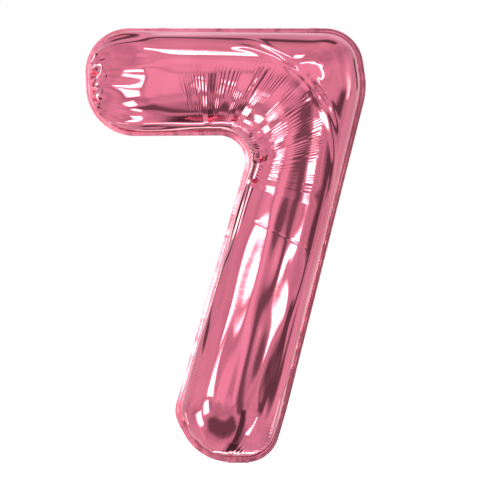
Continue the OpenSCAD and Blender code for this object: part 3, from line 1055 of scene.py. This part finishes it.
def make_room():
    """Pale walls that only reflections see, with soft lighter and darker patches."""
    mesh = bpy.data.meshes.new("room")
    form = bmesh.new()
    bmesh.ops.create_uvsphere(form, u_segments=48, v_segments=24, radius=7)
    form.to_mesh(mesh)
    form.free()
    mat, nodes, links = new_material("room")
    nodes.clear()
    patches = noise(mat, 0.32, 3.0, nodes.new("ShaderNodeTexCoord").outputs["Object"])
    level = ranged(mat, patches, from_min=0.32, from_max=0.68, to_min=0.72, to_max=1.30)
    glow = nodes.new("ShaderNodeEmission")
    links.new(level, glow.inputs["Strength"])
    out = nodes.new("ShaderNodeOutputMaterial")
    links.new(glow.outputs["Emission"], out.inputs["Surface"])
    mesh.materials.append(mat)
    obj = bpy.data.objects.new("room", mesh)
    only_in_reflections(obj)


def only_in_reflections(obj):
    obj.visible_camera = False
    obj.visible_diffuse = False
    obj.visible_shadow = False
    obj.visible_transmission = False
    bpy.context.collection.objects.link(obj)
    obj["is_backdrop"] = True


def make_floor():
    mesh = bpy.data.meshes.new("floor")
    r = 9.0
    mesh.from_pydata([(-r, -r, 0), (r, -r, 0), (r, r, 0), (-r, r, 0)], [], [(0, 1, 2, 3)])
    mat, nodes, _ = new_material("floor")
    shader = nodes["Principled BSDF"]
    shader.inputs["Base Color"].default_value = (0.93, 0.92, 0.92, 1)
    shader.inputs["Emission Color"].default_value = (1, 1, 1, 1)
    shader.inputs["Emission Strength"].default_value = 0.12
    shader.inputs["Roughness"].default_value = 0.9
    mesh.materials.append(mat)
    obj = bpy.data.objects.new("floor", mesh)
    obj.location = (0, 0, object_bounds()[0][2] - 0.06)
    obj.visible_glossy = False
    bpy.context.collection.objects.link(obj)
    obj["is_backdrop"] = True


def around(azimuth, elevation, distance, target=(0, 0, 0.5)):
    """A place at an azimuth from the target, 0 in front and positive to the right, and an elevation."""
    a, e = math.radians(azimuth), math.radians(elevation)
    d = Vector((math.sin(a) * math.cos(e), -math.cos(a) * math.cos(e), math.sin(e)))
    return Vector(target) + d * distance


def off_axis(turn, tilt):
    """Azimuth and elevation of a place tilted away from the front, turned clockwise from straight up."""
    t, a = math.radians(tilt), math.radians(turn)
    x, y, z = math.sin(t) * math.sin(a), math.cos(t), math.sin(t) * math.cos(a)
    return math.degrees(math.atan2(x, y)), math.degrees(math.asin(z))


def make_light():
    world = bpy.data.worlds.new("studio")
    world.use_nodes = True
    world.node_tree.nodes["Background"].inputs["Color"].default_value = (1, 1, 1, 1)
    world.node_tree.nodes["Background"].inputs["Strength"].default_value = 1.0
    bpy.context.scene.world = world
    lamp = bpy.data.lights.new("key", "AREA")
    lamp.shape = "RECTANGLE"
    lamp.size, lamp.size_y = 1.6, 1.0
    lamp.energy = 90
    key = bpy.data.objects.new("key", lamp)
    key.location = (-0.5, -0.9, 2.6)
    key.rotation_euler = (Vector((0, 0, 0.4)) - key.location).to_track_quat("-Z", "Y").to_euler()
    key.visible_glossy = False
    bpy.context.collection.objects.link(key)
    bar, stem = (-0.05, 0, 0.75), (0, 0, 0.40)
    card("box_left_high", -44, 0, 1.9, (1.05, 0.34), 9, target=(0, 0, 0.82))
    card("box_left_low", -46, 0, 1.9, (0.95, 0.72), 9, 0.28, target=(0, 0, 0.27))
    card("box_right_high", 40, -4, 1.9, (0.80, 0.42), 9, target=(0, 0, 0.24))
    card("flag_right_high", 38, 0, 1.8, (0.80, 0.34), 0.62, 0.35, target=(0, 0, 0.72))
    card("fill_camera", -14, 2, 2.3, (1.15, 2.6), 1.42, target=stem)
    card("flag_camera", 13, -8, 2.1, (1.06, 3.4), 0.30, 0.34, target=stem)
    card("flag_below", 27, -58, 1.7, (0.80, 2.0), 0.14, target=(0, 0, 0.15))
    card("flag_neck", 4, -98, 1.3, (0.72, 0.9), 0.10, target=(0, 0, 0.10))
    card("flag_behind_foot", 180, -34, 1.2, (0.9, 0.34), 0.14, target=(0, 0, 0.10))
    card("box_behind_foot", 180, -16, 1.2, (0.9, 0.16), 4, target=(0, 0, 0.10))
    card("box_left_knee", -58, -22, 1.6, (0.60, 0.72), 9, 0.28, target=(0, 0, 0.14))
    card("box_left_foot", -78, -32, 0.6, (0.20, 0.30), 9, 0.28, target=(-0.08, 0, 0.09))
    card("box_foot", 66, -50, 1.7, (0.22, 0.8), 9, target=(0, 0, 0.12))
    card("box_under_foot", 180, -60, 1.3, (1.0, 0.15), 7, target=(0, 0, 0.10))
    card("box_knee_edge", -118, -20, 0.6, (0.07, 0.26), 7, target=(-0.08, 0, 0.10))
    card("box_foot_edge", 116, -26, 0.6, (0.06, 0.24), 4, target=(0.04, 0, 0.10))
    card("flag_right_low", 66, -22, 1.9, (0.9, 0.8), 0.22, 0.35, target=(0, 0, 0.12))
    for turn in (14, 32, 50, 68):
        place = off_axis(turn, 47)
        card(f"box_corner_{turn}", *place, 1.8, (0.60, 0.09), 9, 0.25, target=(0.12, 0, 0.72), roll=turn)
    card("flag_right", 80, -12, 1.9, (0.90, 2.2), 0.20, 0.38, target=stem)
    card("box_top", -13, 66, 1.7, (0.80, 0.30), 9, target=bar)
    card("fill_top", 0, 36, 2.0, (3.4, 0.95), 1.42, 0.35, target=bar)
    card("flag_top", 0, 106, 1.7, (2.6, 0.48), 0.20, 0.35, target=bar)
    card("flag_low", -28, -63, 2.2, (1.5, 1.05), 0.26, 0.32, target=bar, roll=-6)
    end, corner = (-0.26, 0, 0.76), (0.20, 0, 0.74)
    card("box_end", -112, 8, 0.7, (0.18, 0.32), 9, target=end)
    card("flag_behind_end", -142, 4, 0.8, (0.22, 0.6), 0.14, target=end)
    card("box_behind_end", -158, 4, 0.8, (0.10, 0.5), 5, target=end)
    card("flag_end", -86, 14, 0.7, (0.16, 0.30), 0.18, target=end)
    card("flag_end_low", -118, -28, 0.7, (0.30, 0.20), 0.22, target=end)
    card("box_edge", 96, 4, 0.8, (0.22, 0.32), 3.2, target=corner)
    card("flag_edge", 126, 12, 0.8, (0.22, 0.34), 0.20, target=corner)
    card("back_left", 160, 0, 2.0, (0.35, 0.9), 9, target=(0, 0, 0.55))
    card("back_right", -162, 0, 2.0, (0.45, 0.8), 9, target=(0, 0, 0.25))
    card("back_flag", 180, 0, 2.2, (0.4, 2.4), 0.35, 0.2, target=stem)


make_room()
make_floor()
make_light()
bpy.context.scene.view_settings.view_transform = "Standard"
